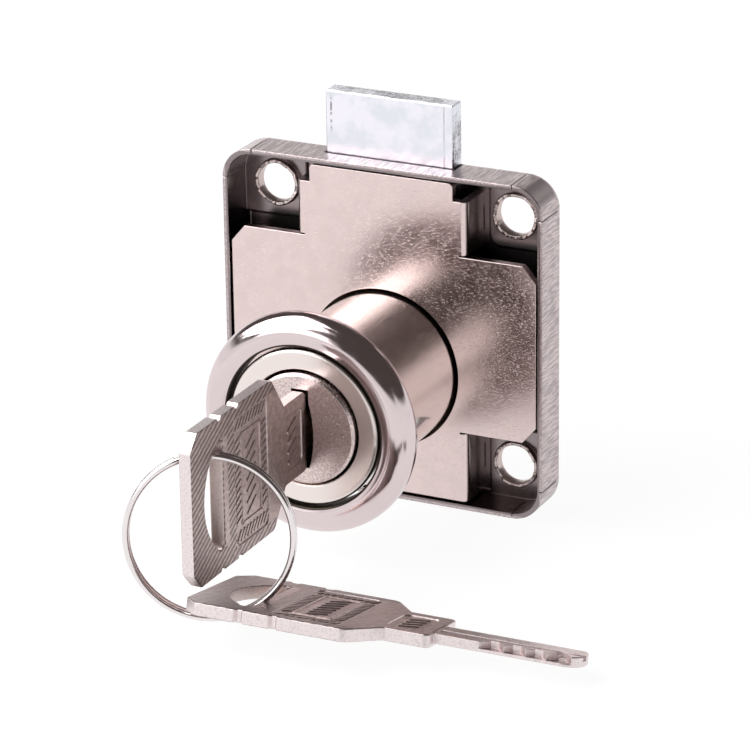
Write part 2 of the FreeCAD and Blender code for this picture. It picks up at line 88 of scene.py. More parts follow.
# Node trees
class Tree:
    """A node tree, built with short calls."""

    def __init__(self, tree):
        self.tree = tree
        self.tree.nodes.clear()

    def add(self, kind, **inputs):
        """A node with its inputs set by name, where an underscore stands for a space."""
        node = self.tree.nodes.new(kind)
        for key, value in inputs.items():
            node.inputs[key.replace("_", " ")].default_value = value
        return node

    def link(self, out, into):
        self.tree.links.new(out, into)

    def axes(self, vector):
        """The three coordinates of a vector."""
        split = self.add("ShaderNodeSeparateXYZ")
        self.link(vector, split.inputs[0])
        return split.outputs

    def math(self, kind, a, b):
        node = self.add("ShaderNodeMath")
        node.operation = kind
        for socket, value in zip(node.inputs, (a, b)):
            if isinstance(value, (int, float)):
                socket.default_value = value
            else:
                self.link(value, socket)
        return node.outputs[0]

    def plus(self, a, b):
        return self.math("ADD", a, b)

    def times(self, a, b):
        return self.math("MULTIPLY", a, b)

    def larger(self, a, b):
        return self.math("MAXIMUM", a, b)

    def distance(self, value, centre):
        """How far a value is from a centre."""
        return self.math("ABSOLUTE", self.math("SUBTRACT", value, centre), 0)

    def surface(self, output, first, second, share):
        """The tree's result: a share of the second shader over the first."""
        mixer = self.add("ShaderNodeMixShader")
        self.link(share, mixer.inputs[0])
        self.link(first.outputs[0], mixer.inputs[1])
        self.link(second.outputs[0], mixer.inputs[2])
        self.link(mixer.outputs[0], self.add(output).inputs["Surface"])


class Metal(Tree):
    """A metal with detail in its colour, roughness and bump."""

    def __init__(self, name):
        self.material = bpy.data.materials.new(name)
        self.material.use_nodes = True
        super().__init__(self.material.node_tree)
        self.shader = self.add("ShaderNodeBsdfPrincipled", Metallic=1.0)
        self.link(self.shader.outputs[0], self.add("ShaderNodeOutputMaterial").inputs["Surface"])
        coordinates = self.add("ShaderNodeTexCoord")
        self.point = coordinates.outputs["Object"]
        self.facing = coordinates.outputs["Normal"]

    def mapped(self, scale, rotation=(0, 0, 0), source=None):
        """Coordinates stretched by a scale and turned by degrees."""
        node = self.add("ShaderNodeMapping", Scale=scale, Rotation=[math.radians(a) for a in rotation])
        self.link(source or self.point, node.inputs["Vector"])
        return node.outputs[0]

    def noise(self, vector, scale, detail, roughness):
        node = self.add("ShaderNodeTexNoise", Scale=scale, Detail=detail, Roughness=roughness)
        self.link(vector, node.inputs["Vector"])
        return node.outputs[0]

    def ramp(self, value, low, high, out_low=0.0, out_high=1.0):
        """Smooth step from one output to the other between two inputs."""
        node = self.add("ShaderNodeMapRange")
        node.interpolation_type = "SMOOTHSTEP"
        for key, number in (("From Min", low), ("From Max", high), ("To Min", out_low), ("To Max", out_high)):
            node.inputs[key].default_value = number
        self.link(value, node.inputs["Value"])
        return node.outputs[0]

    def ramp_mm(self, value, low, high):
        """Smooth step from 0 to 1 between two places in millimetres."""
        return self.ramp(value, low * MM, high * MM)

    def radius(self, x, z):
        """Distance from the barrel's axis."""
        return self.math("POWER", self.plus(self.math("POWER", x, 2.0), self.math("POWER", z, 2.0)), 0.5)

    def mix(self, factor, a, b):
        node = self.add("ShaderNodeMix")
        node.data_type = "RGBA"
        self.link(factor, node.inputs[0])
        for socket, value in ((node.inputs[6], a), (node.inputs[7], b)):
            if isinstance(value, tuple):
                socket.default_value = (*value, 1)
            else:
                self.link(value, socket)
        return node.outputs[2]

    def finish(self, color, roughness, height, depth, strength, edge):
        """The finished material; the bump's depth and the radius of the edges' look are in millimetres."""
        bevel = self.add("ShaderNodeBevel", Radius=edge * MM)
        bevel.samples = 6
        bump = self.add("ShaderNodeBump", Strength=strength, Distance=depth * MM)
        self.link(height, bump.inputs["Height"])
        self.link(bevel.outputs[0], bump.inputs["Normal"])
        self.link(bump.outputs[0], self.shader.inputs["Normal"])
        if isinstance(color, tuple):
            self.shader.inputs["Base Color"].default_value = (*color, 1)
        else:
            self.link(color, self.shader.inputs["Base Color"])
        if isinstance(roughness, float):
            self.shader.inputs["Roughness"].default_value = roughness
        else:
            self.link(roughness, self.shader.inputs["Roughness"])
        return self.material


def darker(color, share):
    """A colour at a share of its brightness."""
    return tuple(c * share for c in color)


# Metals: noise scales are per metre, and places along an axis are in millimetres
# Near-black colours of painted shade, where surfaces lie hidden in the case, in the barrel's hole or in the
# keyway
COVER_PAINTED_SHADE = (0.03, 0.02, 0.02)
BODY_PAINTED_SHADE = (0.02, 0.015, 0.01)
KEYWAY_PAINTED_SHADE = (0.015, 0.01, 0.01)
BOLT_CLOUD = (0.76, 0.78, 0.84)
SCRATCH_TURNS = (55, -20, 130)      # degrees
KEY_MAP = "key_face"
HATCH_ANGLE = 28.5                  # degrees, on the keys
HATCH_PITCH = 0.66                  # millimetres
WAVE_UNIT = 0.314                   # distance between a wave texture's bands at a scale of 1


def nickel_sheet(name, color, rough, shade_painted_inside=False):
    """Satin plated sheet with fine grain and short scratches; the cover's hole wall and back get painted
    shade.
    """
    m = Metal(name)
    grain = m.noise(m.point, scale=6500, detail=3, roughness=0.6)
    cloud = m.noise(m.point, scale=420, detail=3, roughness=0.5)
    scratches = 0.0
    for turn in SCRATCH_TURNS:
        streak = m.noise(m.mapped((2200, 9000, 9000), (0, turn, 0)), scale=1, detail=2, roughness=0.5)
        scratches = m.larger(scratches, m.ramp(streak, 0.64, 0.74))
    tint = m.mix(m.ramp(cloud, 0.35, 0.65), darker(color, 0.95), color)
    if shade_painted_inside:
        x, y, z = m.axes(m.point)
        # Painted shade: the cover's back, inside the case, and the wall of the barrel's hole are darkened to
        # near black
        back = m.ramp_mm(y, 0.38, 0.55)
        hole = m.times(m.ramp_mm(m.radius(x, z), 10.0, 9.9), m.ramp_mm(y, 0.75, 0.9))
        tint = m.mix(m.larger(m.times(back, 0.6), hole), tint, COVER_PAINTED_SHADE)
    height = m.plus(grain, m.times(scratches, 1.3))
    patchy = m.ramp(cloud, 0.3, 0.7, rough - 0.03, rough + 0.03)
    return m.finish(tint, patchy, height, depth=0.02, strength=0.42, edge=0.12)


def tray_nickel(name, color, rough):
    """Brush strokes along the depth outside, and a smoother sheet inside, darkened with painted shade."""
    m = Metal(name)
    strokes = m.noise(m.mapped((5200, 420, 5200), (4, 0, -4)), scale=1, detail=3, roughness=0.65)
    x, _, z = m.axes(m.point)
    from_centre = m.larger(m.distance(x, 0), m.distance(z, CASE_RISE * MM))
    walls = m.ramp_mm(from_centre, 20.1, 20.25)
    back = m.ramp(m.axes(m.facing)[1], 0.4, 0.6)
    outside = m.larger(walls, back)
    brushed = m.mix(m.times(m.ramp(strokes, 0.60, 0.40), outside), color, darker(color, 0.55))
    # Painted shade: the inside of the case at a share of the colour
    tint = m.mix(outside, darker(color, 0.44), brushed)
    rough_outside = m.ramp(outside, 0, 1, 0.24, rough)
    return m.finish(tint, rough_outside, m.times(strokes, outside), depth=0.04, strength=0.6, edge=0.22)


def body_metal(name, color, rough):
    """Smooth plated casting with a duller front, painted shade on the front rim's outer edge, and near-black
    painted shade where it is hidden in the case and in the bore's mouth.
    """
    m = Metal(name)
    haze = m.noise(m.point, scale=900, detail=4, roughness=0.6)
    x, y, z = m.axes(m.point)
    radius = m.radius(x, z)
    inside = m.ramp_mm(y, 0.55, 0.85)
    bore = m.times(m.ramp_mm(radius, 6.95, 6.8), m.ramp_mm(y, -20.46, -20.3))
    front = m.ramp_mm(y, -19.9, -20.1)
    # Painted shade on the outer edge of the front rim
    rim = m.times(front, m.ramp_mm(radius, 9.05, 9.3))
    tint = m.mix(rim, color, darker(color, 0.45))
    # Painted shade, near black, on the part hidden in the case and in the bore's mouth
    tint = m.mix(m.larger(inside, bore), tint, BODY_PAINTED_SHADE)
    duller = m.ramp(front, 0, 1, rough, rough + 0.10)
    return m.finish(tint, duller, haze, depth=0.01, strength=0.15, edge=0.32)


def bolt_metal(name, color, rough):
    """Zinc plated bar: sheared, grainy sides and a broken line along the face's long edges."""
    m = Metal(name)
    grain = m.noise(m.point, scale=5200, detail=3, roughness=0.6)
    coarse = m.noise(m.point, scale=2600, detail=3, roughness=0.6)
    cloud = m.noise(m.point, scale=260, detail=3, roughness=0.6)
    x, _, z = m.axes(m.point)
    side = m.larger(m.ramp_mm(m.distance(x, 0), 7.98, 8.1), m.ramp_mm(z, 32.2, 32.3))
    left = m.ramp_mm(m.distance(x, -7.42 * MM), 0.16, 0.06)
    right = m.ramp_mm(m.distance(x, 7.0 * MM), 0.16, 0.05)
    broken = m.ramp(m.noise(m.mapped((900, 900, 1700)), scale=1, detail=2, roughness=0.5), 0.42, 0.55)
    line = m.larger(m.times(left, broken), m.times(right, 0.55))
    sheared = m.times(side, m.ramp(coarse, 0.62, 0.44, 0.45, 1.0))
    tint = m.mix(line, color, darker(color, 0.35))
    tint = m.mix(sheared, tint, darker(color, 0.28))
    tint = m.mix(m.ramp(cloud, 0.40, 0.62), tint, BOLT_CLOUD)
    height = m.plus(m.times(grain, 0.4), m.times(coarse, m.times(side, 3.0)))
    return m.finish(tint, rough, height, depth=0.03, strength=0.5, edge=0.07)


def plug_sheet(name, color, rough):
    """Grainy plated face, and painted shade, near black, deep inside the keyway."""
    m = Metal(name)
    grain = m.noise(m.point, scale=4200, detail=3, roughness=0.65)
    speck = m.ramp(m.noise(m.point, scale=5200, detail=2, roughness=0.5), 0.64, 0.70)
    x, y, z = m.axes(m.point)
    keyway = m.times(m.ramp_mm(y, -20.97, -20.75), m.ramp_mm(m.radius(x, z), 6.3, 6.1))
    tint = m.mix(m.ramp(grain, 0.40, 0.60), darker(color, 0.76), color)
    # Painted shade: the keyway darkens to near black with depth
    tint = m.mix(keyway, tint, KEYWAY_PAINTED_SHADE)
    height = m.plus(grain, m.times(speck, 2.0))
    return m.finish(tint, rough, height, depth=0.04, strength=0.9, edge=0.08)


def bright(name, color, rough):
    """Polished plating with a faint haze."""
    m = Metal(name)
    haze = m.noise(m.point, scale=900, detail=4, roughness=0.6)
    hazy = m.ramp(haze, 0.3, 0.7, rough - 0.03, rough + 0.05)
    return m.finish(color, hazy, haze, depth=0.01, strength=0.15, edge=0.12)


def key_metal(name, color, rough):
    """Key face with fine slanted grooves, darkened with painted shade, from a map that holds millimetres
    along and across the key.
    """
    m = Metal(name)
    face = m.add("ShaderNodeUVMap")
    face.uv_map = KEY_MAP
    along, across, _ = m.axes(face.outputs[0])
    across = m.math("ABSOLUTE", across, 0)
    bow = m.larger(m.ramp(along, 9.9, 9.7), m.ramp(across, 7.55, 7.7))
    slot_rim = m.times(m.ramp(m.distance(along, 7.8), 0.55, 0.45), m.ramp(across, 6.6, 6.4))
    hatched = m.times(bow, m.math("SUBTRACT", 1.0, slot_rim))
    wave = m.add("ShaderNodeTexWave", Scale=WAVE_UNIT / HATCH_PITCH, Distortion=1.2, Detail=2.0,
                 Detail_Scale=1.5)
    wave.wave_type = "BANDS"
    wave.bands_direction = "Y"
    m.link(m.mapped((1, 1, 1), (0, 0, -HATCH_ANGLE), face.outputs[0]), wave.inputs["Vector"])
    groove = m.times(m.ramp(wave.outputs[1], 0.62, 0.30), hatched)
    haze = m.noise(m.point, scale=1500, detail=4, roughness=0.7)
    grain = m.noise(m.point, scale=5200, detail=3, roughness=0.6)
    tint = m.mix(m.ramp(haze, 0.35, 0.65), darker(color, 0.70), color)
    # Painted shade in the grooves
    tint = m.mix(m.times(groove, 0.85), tint, darker(color, 0.30))
    height = m.plus(m.times(grain, 0.35), m.plus(m.times(haze, 0.9), m.times(groove, -1.6)))
    return m.finish(tint, rough, height, depth=0.06, strength=0.8, edge=0.14)


def key_side(name, color, rough):
    """Blanked sides of a key, finely pitted; its darker copy is painted shade on the walls of the slot."""
    m = Metal(name)
    grain = m.noise(m.point, scale=3800, detail=3, roughness=0.65)
    lines = m.noise(m.mapped((700, 5200, 700), (10, 10, 10)), scale=1, detail=3, roughness=0.6)
    tint = m.mix(m.ramp(grain, 0.36, 0.52), darker(color, 0.84), color)
    height = m.plus(grain, m.times(lines, 0.6))
    return m.finish(tint, rough, height, depth=0.03, strength=0.6, edge=0.14)


cover_metal = nickel_sheet("cover_nickel", (0.77, 0.635, 0.62), 0.20, shade_painted_inside=True)
tray_metal = tray_nickel("tray_nickel", (0.65, 0.55, 0.56), 0.30)
lip_metal = bright("lip_nickel", (0.60, 0.50, 0.48), 0.30)
zinc = bolt_metal("bolt_zinc", (0.88, 0.86, 0.93), 0.24)
collar_chrome = bright("collar_chrome", (0.70, 0.60, 0.61), 0.13)
collar_back = nickel_sheet("collar_back", (0.52, 0.45, 0.44), 0.38)
# Painted shade: near black on the collar's hole wall and the rounding of its lip
collar_shade_painted = bright("collar_hole_shade", (0.06, 0.05, 0.04), 0.50)
body_nickel = body_metal("body_nickel", (0.84, 0.76, 0.73), 0.15)
plug_metal = plug_sheet("plug_nickel", (0.80, 0.67, 0.65), 0.24)
key_nickel = key_metal("key_nickel", (0.58, 0.46, 0.44), 0.32)
key_bright = key_side("key_side", (0.84, 0.75, 0.75), 0.36)
# Painted shade: the walls of the ring's slot get a darker copy of the sides' metal
key_shade_in_slot = key_side("key_slot_shade", (0.60, 0.50, 0.48), 0.36)
ring_metal = bright("ring_steel", (0.82, 0.77, 0.77), 0.12)
brass = nickel_sheet("wafer_brass", (0.80, 0.62, 0.32), 0.32)
wire = bright("spring_steel", (0.60, 0.60, 0.60), 0.25)

node_metals = {"case_tray": tray_metal, "cover_plate": cover_metal, "cylinder_body": body_nickel,
               "trim_collar": collar_chrome, "plug": plug_metal, "driver_cam": plug_metal, "bolt": zinc,
               "key_in_lock": key_nickel, "spare_key": key_nickel, "key_ring": ring_metal}
for number in range(1, 6):
    node_metals["wafer_%d" % number] = brass
    node_metals["wafer_spring_%d" % number] = wire
for node_name, node_metal in node_metals.items():
    nodes[node_name].data.materials.clear()
    nodes[node_name].data.materials.append(node_metal)


# Mesh tools: shapes are drawn in millimetres and scaled once, when a piece is placed
WELD = 0.0005


def finish_mesh(mesh, sharp):
    """Smooth shading that keeps flat faces flat and edges sharp above an angle in degrees."""
    mesh.polygons.foreach_set("use_smooth", [True] * len(mesh.polygons))
    mesh.set_sharp_from_angle(angle=math.radians(sharp))


def outward(mesh, weld=None):
    """The same mesh with its faces turned outwards, and points nearer than weld made one."""
    work = bmesh.new()
    work.from_mesh(mesh)
    if weld:
        bmesh.ops.remove_doubles(work, verts=work.verts, dist=weld)
    bmesh.ops.recalc_face_normals(work, faces=work.faces)
    work.to_mesh(mesh)
    work.free()
    return mesh


def solid(name, verts, faces):
    """A closed mesh, whichever way its faces are listed."""
    mesh = bpy.data.meshes.new(name)
    mesh.from_pydata(verts, [], faces)
    return outward(mesh)


def temporary(data):
    """An object that lives only until it is baked."""
    obj = bpy.data.objects.new("temporary", data)
    scene.collection.objects.link(obj)
    return obj


def baked(obj):
    """The object's mesh with its modifiers, and the object goes."""
    bpy.context.view_layer.update()
    evaluated = obj.evaluated_get(bpy.context.evaluated_depsgraph_get())
    mesh = bpy.data.meshes.new_from_object(evaluated)
    bpy.data.objects.remove(obj)
    return mesh


def joined(*meshes):
    """All the meshes as one, with nothing merged."""
    work = bmesh.new()
    for mesh in meshes:
        work.from_mesh(mesh)
    result = bpy.data.meshes.new("joined")
    work.to_mesh(result)
    work.free()
    return result


def prism(points, low, high):
    """Straight prism of a closed outline in the XY plane."""
    count = len(points)
    verts = [(x, y, low) for x, y in points] + [(x, y, high) for x, y in points]
    faces = [tuple(reversed(range(count))), tuple(range(count, 2 * count))]
    faces += [(k, (k + 1) % count, (k + 1) % count + count, k + count) for k in range(count)]
    return solid("prism", verts, faces)


def box(u0, u1, v0, v1, low, high):
    return prism([(u0, v0), (u1, v0), (u1, v1), (u0, v1)], low, high)


def rounded_plate(loops, low, high, edge):
    """Plate between two heights, with holes, its edges rounded all round."""
    curve = bpy.data.curves.new("plate", "CURVE")
    curve.dimensions = "2D"
    curve.fill_mode = "BOTH"
    curve.extrude = (high - low) / 2 - edge
    curve.bevel_depth = edge
    curve.bevel_resolution = 2
    curve.offset = -edge
    for loop in loops:
        spline = curve.splines.new("POLY")
        spline.points.add(len(loop) - 1)
        for point, (x, y) in zip(spline.points, loop):
            point.co = (x, y, 0, 1)
        spline.use_cyclic_u = True
    mesh = baked(temporary(curve))
    bpy.data.curves.remove(curve)
    mesh.transform(Matrix.Translation((0, 0, (low + high) / 2)))
    return outward(mesh, WELD)


def carved(mesh, cutter):
    """The mesh without the space of the cutter."""
    obj = temporary(mesh)
    tool = temporary(cutter)
    modifier = obj.modifiers.new("cut", "BOOLEAN")
    modifier.solver = "EXACT"
    modifier.operation = "DIFFERENCE"
    modifier.object = tool
    result = baked(obj)
    bpy.data.objects.remove(tool)
    return result


def weighted(mesh, sharp):
    """The mesh with normals that follow its large faces."""
    finish_mesh(mesh, sharp)
    obj = temporary(mesh)
    modifier = obj.modifiers.new("normals", "WEIGHTED_NORMAL")
    modifier.keep_sharp = True
    modifier.weight = 100
    return baked(obj)


def place(name, mesh, body, metals, replaced=(), matrix=None):
    """Puts a mesh into the scene as a piece that rides on a body and stands for the replaced nodes."""
    if matrix is not None:
        mesh.transform(matrix)
    mesh.transform(Matrix.Scale(MM, 4))
    for metal in metals:
        mesh.materials.append(metal)
    obj = bpy.data.objects.new(name, mesh)
    scene.collection.objects.link(obj)
    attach(obj, body)
    if replaced:
        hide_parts(*replaced)


def arc_points(before, here, after, radius, steps):
    """Points of the arc that rounds one corner."""
    here = Vector(here)
    to_before = (Vector(before) - here).normalized()
    to_after = (Vector(after) - here).normalized()
    half = to_before.angle(to_after) / 2
    centre = here + (to_before + to_after).normalized() * (radius / math.sin(half))
    start = here + to_before * (radius / math.tan(half)) - centre
    end = here + to_after * (radius / math.tan(half)) - centre
    sweep = start.angle_signed(end)
    turned = []
    for k in range(steps + 1):
        angle = -sweep * k / steps
        turned.append((centre.x + start.x * math.cos(angle) - start.y * math.sin(angle),
                       centre.y + start.x * math.sin(angle) + start.y * math.cos(angle)))
    return turned


def outline(corners, steps=6):
    """Closed outline through (x, y, radius) corners."""
    points = []
    count = len(corners)
    for k, (x, y, radius) in enumerate(corners):
        if radius > 0:
            points += arc_points(corners[k - 1][:2], (x, y), corners[(k + 1) % count][:2], radius, steps)
        else:
            points.append((x, y))
    return points


def panel(u0, u1, half_v, radius):
    """Rounded rectangle that is centred across the key."""
    return outline([(u0, -half_v, radius), (u1, -half_v, radius), (u1, half_v, radius), (u0, half_v, radius)])


def arc_through(a, b, c, steps):
    """Points from a to c on the arc through b."""
    ax, ay = a
    bx, by = b
    cx, cy = c
    aa = ax * ax + ay * ay
    bb = bx * bx + by * by
    cc = cx * cx + cy * cy
    d = 2 * (ax * (by - cy) + bx * (cy - ay) + cx * (ay - by))
    ux = (aa * (by - cy) + bb * (cy - ay) + cc * (ay - by)) / d
    uy = (aa * (cx - bx) + bb * (ax - cx) + cc * (bx - ax)) / d
    radius = math.hypot(ax - ux, ay - uy)
    first = math.atan2(ay - uy, ax - ux)
    middle = (math.atan2(by - uy, bx - ux) - first) % math.tau
    last = (math.atan2(cy - uy, cx - ux) - first) % math.tau
    if middle > last:
        last -= math.tau
    angles = [first + last * k / steps for k in range(steps + 1)]
    return [(ux + radius * math.cos(angle), uy + radius * math.sin(angle)) for angle in angles]


def lathe(profile, segments, wobble=None):
    """Closed (radius, y) profile turned round the Y axis; wobble(angle, index) moves a point along Y."""
    count = len(profile)
    verts = []
    for k in range(segments):
        angle = math.tau * k / segments
        for index, (radius, y) in enumerate(profile):
            depth = y + (wobble(angle, index) if wobble else 0)
            verts.append((radius * math.cos(angle), depth, radius * math.sin(angle)))
    faces = []
    for k in range(segments):
        here = k * count
        there = (k + 1) % segments * count
        for index in range(count):
            after = (index + 1) % count
            faces.append((here + index, here + after, there + after, there + index))
    return solid("lathe", verts, faces)


# Trim collar, turned from a section of (radius, y) points: the dome in front, and its hollow back
COLLAR_HOLE = BARREL_R + 0.32
COLLAR_OUTER = BARREL_R + 3.8
COLLAR_TOP = BARREL_FRONT - 0.3         # the dome's foremost line
COLLAR_CROWN = COLLAR_HOLE + 1.25       # that line's radius
COLLAR_BROW = BARREL_FRONT - 0.12       # front of the inner lip
COLLAR_LIP = BARREL_FRONT + 0.6         # back of the inner lip
COLLAR_WALL = 1.75                      # length of the hole's wall behind the lip
COLLAR_EDGE = BARREL_FRONT + 1.8        # where the dome ends
COLLAR_SKIRT = COLLAR_EDGE + 0.6
INNER_STEPS = 6
COLLAR_SEGMENTS = 160
COLLAR_SHARP = 50                       # degrees
CHROME, BACK, HOLE_SHADE = range(3)


def make_collar():
    hole, outer = COLLAR_HOLE, COLLAR_OUTER
    inner = arc_through((hole, COLLAR_BROW + 0.22), (hole + 0.07, COLLAR_BROW + 0.06),
                        (hole + 0.24, COLLAR_BROW), INNER_STEPS)
    dome = arc_through((hole + 0.24, COLLAR_BROW), (COLLAR_CROWN, COLLAR_TOP),
                       (outer - 0.75, COLLAR_TOP + 0.75), 16)
    fall = arc_through((outer - 0.75, COLLAR_TOP + 0.75), (outer - 0.2, COLLAR_TOP + 1.35),
                       (outer, COLLAR_EDGE), 12)
    front = inner + dome[1:] + fall[1:]
    rim = [(outer, COLLAR_SKIRT - 0.08), (outer - 0.05, COLLAR_SKIRT), (outer - 0.42, COLLAR_SKIRT),
           (outer - 0.5, COLLAR_SKIRT - 0.08)]
    back = arc_through((outer - 0.5, COLLAR_EDGE + 0.12), (COLLAR_CROWN, COLLAR_TOP + 0.5),
                       (hole + 0.4, COLLAR_LIP + 0.1), 20)
    wall = [(hole + 0.35, COLLAR_LIP + COLLAR_WALL), (hole, COLLAR_LIP + COLLAR_WALL)]
    profile = front + rim + back + wall
    mesh = lathe(profile, COLLAR_SEGMENTS)
    finish_mesh(mesh, COLLAR_SHARP)
    for polygon in mesh.polygons:
        index = polygon.index % len(profile)
        if index < INNER_STEPS or index >= len(profile) - len(wall):
            polygon.material_index = HOLE_SHADE       # painted shade, near black, round the hole
        else:
            polygon.material_index = CHROME if index <= len(front) else BACK
    metals = (collar_chrome, collar_back, collar_shade_painted)
    place("collar_ring", mesh, "collar", metals, ["trim_collar"])


# Torn, drawn lips of the four screw holes, from a section of (radius, y) points
LIP_SECTION = [(2.37, 5.2), (2.37, 3.95), (2.44, 3.84), (2.72, 3.82), (2.86, 3.98), (2.88, 4.65)]
LIP_TORN = (1, 2, 3, 4)         # the section's points that the tear moves
LIP_SEGMENTS = 120
LIP_PHASE = 1.7                 # radians, so that no two lips are torn alike
LIP_SHARP = 50                  # degrees


def torn(angle, index, phase):
    """How far a point of a lip is moved back."""
    if index not in LIP_TORN:
        return 0
    coarse = 0.10 * math.sin(3 * angle + phase) + 0.07 * math.sin(7 * angle + 2 * phase)
    return coarse + 0.05 * math.sin(17 * angle + 3 * phase) + 0.03 * math.sin(29 * angle)


def make_lips():
    lips = []
    for number, (side_x, side_z) in enumerate(((1, 1), (-1, 1), (1, -1), (-1, -1))):
        phase = LIP_PHASE * number
        lip = lathe(LIP_SECTION, LIP_SEGMENTS, lambda angle, index, phase=phase: torn(angle, index, phase))
        lip.transform(Matrix.Translation((side_x * SCREW_AT, 0, CASE_RISE + side_z * SCREW_AT)))
        lips.append(lip)
    mesh = joined(*lips)
    finish_mesh(mesh, LIP_SHARP)
    place("screw_hole_lips", mesh, "case", (lip_metal,))


# Keys, drawn as in the part: u along the key, v across it, w through its thickness
KEY_HALF_T = 0.75
KEY_EDGE = 0.14                         # radius of the plate's edges
SLOT_FRONT = 7.15
SLOT_LEAN = 0.5                         # of the slot's front wall, through the thickness
LEAN_FROM, LEAN_TO, LEAN_HALF = 6.2, 7.9, 6.6
LEAN_RAMP = 0.9                         # over which the lean grows to its whole
SLOT_FROM, SLOT_TO, SLOT_HALF = 2, 8, 7  # box round the slot
BOW_LEN = 18.92
BOW_HALF_H = 9.03
BOW_NOTCHES = (6.7, 10.7)
NECK_FROM = BOW_LEN + 2.94
NECK_HALF_H = 4.8
SHOULDER = NECK_FROM + 5.29
TIP = SHOULDER + 16.56
BLADE_TOP = 1.5
BLADE_BOTTOM = 3.45
BLADE_BACK = -0.4
BLADE_EDGE = 0.12
BLADE_GROOVES = ((0.76, 3, 0.35), (-2.0, -1.2, 0.25))   # across from, across to, bottom
NOSE_R = 2.3
BOW_PANEL = (9.9, 17.6, 7.6)            # along from, along to, half across
NECK_PANEL = (21.6, 25.9, 3.3)
PANEL_DEPTH = 0.12
PANEL_R = 0.8
PANEL_OVER = 0.5                        # how far the panels' cutters stand over the face
STROKE_ROOT = 0.2                       # bottom and top of the raised strokes, under the face
STROKE_TOP = 0.02
CUT_DEPTHS = (0, 1.25, 1.1, 1.05, 1.45)
CUT_FIRST = 4.08                        # from the shoulder
CUT_PITCH = 2.5
CUT_HALF_FLAT = 0.45
CUT_FLANK = 0.8                         # run of a cut's flank for each unit of depth
CUT_OVER = 0.3                          # how far the cutter starts outside the blade
CUT_BOTTOM = -0.05                      # the blade's back stands whole behind the cuts
SIDE_SLOPE = 0.6                        # normals that lean less out of the key's plane are its sides
KEY_SHARP = 38                          # degrees
FACE, SIDE, SLOT = range(3)


def bow_outline():
    notches = []
    for u in BOW_NOTCHES:
        notches += [(u - 0.5, -BOW_HALF_H, 0.1), (u - 0.25, -BOW_HALF_H + 0.4, 0.1),
                    (u + 0.25, -BOW_HALF_H + 0.4, 0.1), (u + 0.5, -BOW_HALF_H, 0.1)]
    corners = [(0, -BOW_HALF_H + 1.9, 0.15), (1.7, -BOW_HALF_H, 0.3)]
    corners += notches
    corners += [(BOW_LEN, -BOW_HALF_H, 1.2), (NECK_FROM, -NECK_HALF_H, 0.4),
                (SHOULDER, -NECK_HALF_H, 0.8), (SHOULDER, NECK_HALF_H, 0.8),
                (NECK_FROM, NECK_HALF_H, 0.4), (BOW_LEN, BOW_HALF_H, 1.2)]
    corners += [(u, -v, radius) for u, v, radius in reversed(notches)]
    corners += [(1.7, BOW_HALF_H, 0.3), (0, BOW_HALF_H - 1.9, 0.15)]
    return outline(corners, 4)


def slot_outline():
    """The ring's slot: a long arc at the back, a straight front and two rounded ends."""
    arc = arc_through((5.6, 5.9), (2.8, 0), (5.6, -5.9), 20)
    lower = arc_through((5.6, -5.9), (6.4, -6.5), (SLOT_FRONT, -5.6), 10)
    upper = [(u, -v) for u, v in reversed(lower)]
    return arc[:-1] + lower + upper[:-1]


def slanted(mesh):
    """The slot's front wall leans: the near face is wider open than the far one."""
    for vertex in mesh.vertices:
        u, v, w = vertex.co
        if LEAN_FROM < u < LEAN_TO and abs(v) < LEAN_HALF:
            share = (KEY_HALF_T - w) / (2 * KEY_HALF_T)
            vertex.co.x -= SLOT_LEAN * share * min(1.0, (u - LEAN_FROM) / LEAN_RAMP)
    return mesh


def stroke(u, v, length, width, degrees, low, high):
    """One raised stroke on a key's face."""
    angle = math.radians(degrees)
    along = Vector((math.cos(angle), math.sin(angle))) * (length / 2)
    side = Vector((-math.sin(angle), math.cos(angle))) * (width / 2)
    middle = Vector((u, v))
    points = [middle - along - side, middle + along - side, middle + along + side, middle - along + side]
    return prism([tuple(p) for p in points], low, high)


def relief():
    """Plain hatching on both panels, with a frame in the bow's: (u, v, length, width, degrees)."""
    ends = [(10.8 + 0.78 * k, v, 1.6, 0.34, 50) for v in (-6.6, 6.6) for k in range(9)]
    borders = [(u, -4.7 + 0.86 * row, length, 0.34, HATCH_ANGLE)
               for row in range(12) for u, length in ((10.75, 1.4), (16.9, 1.2))]
    across = [(13.8, v, 4.6, 0.28, 0) for v in (-5.3, 5.3)]
    along = [(u, 0, 10.6, 0.28, 90) for u in (11.6, 16.0)]
    middle = [(13.8, 1.3 * k, 2.6, 0.24, 35) for k in range(-3, 4)]
    neck = [(23.7, v, 2.4, 0.4, 28) for v in (-1.9, -0.65, 0.6, 1.85)]
    return ends + borders + across + along + middle + neck


def layer(face, inner, outer):
    """Two heights from the key's middle plane towards one of its faces, the lower first."""
    return sorted((face * inner, face * outer))


def key_strokes(face):
    low, high = layer(face, KEY_HALF_T - STROKE_ROOT, KEY_HALF_T - STROKE_TOP)
    return [stroke(*sizes, low, high) for sizes in relief()]


def make_key_plate():
    """Bow and neck, with sunk panels on both faces."""
    plate = slanted(rounded_plate([bow_outline(), slot_outline()], -KEY_HALF_T, KEY_HALF_T, KEY_EDGE))
    panels = []
    for face in (-1, 1):
        low, high = layer(face, KEY_HALF_T - PANEL_DEPTH, KEY_HALF_T + PANEL_OVER)
        panels += [prism(panel(*sizes, PANEL_R), low, high) for sizes in (BOW_PANEL, NECK_PANEL)]
    return carved(plate, joined(*panels))


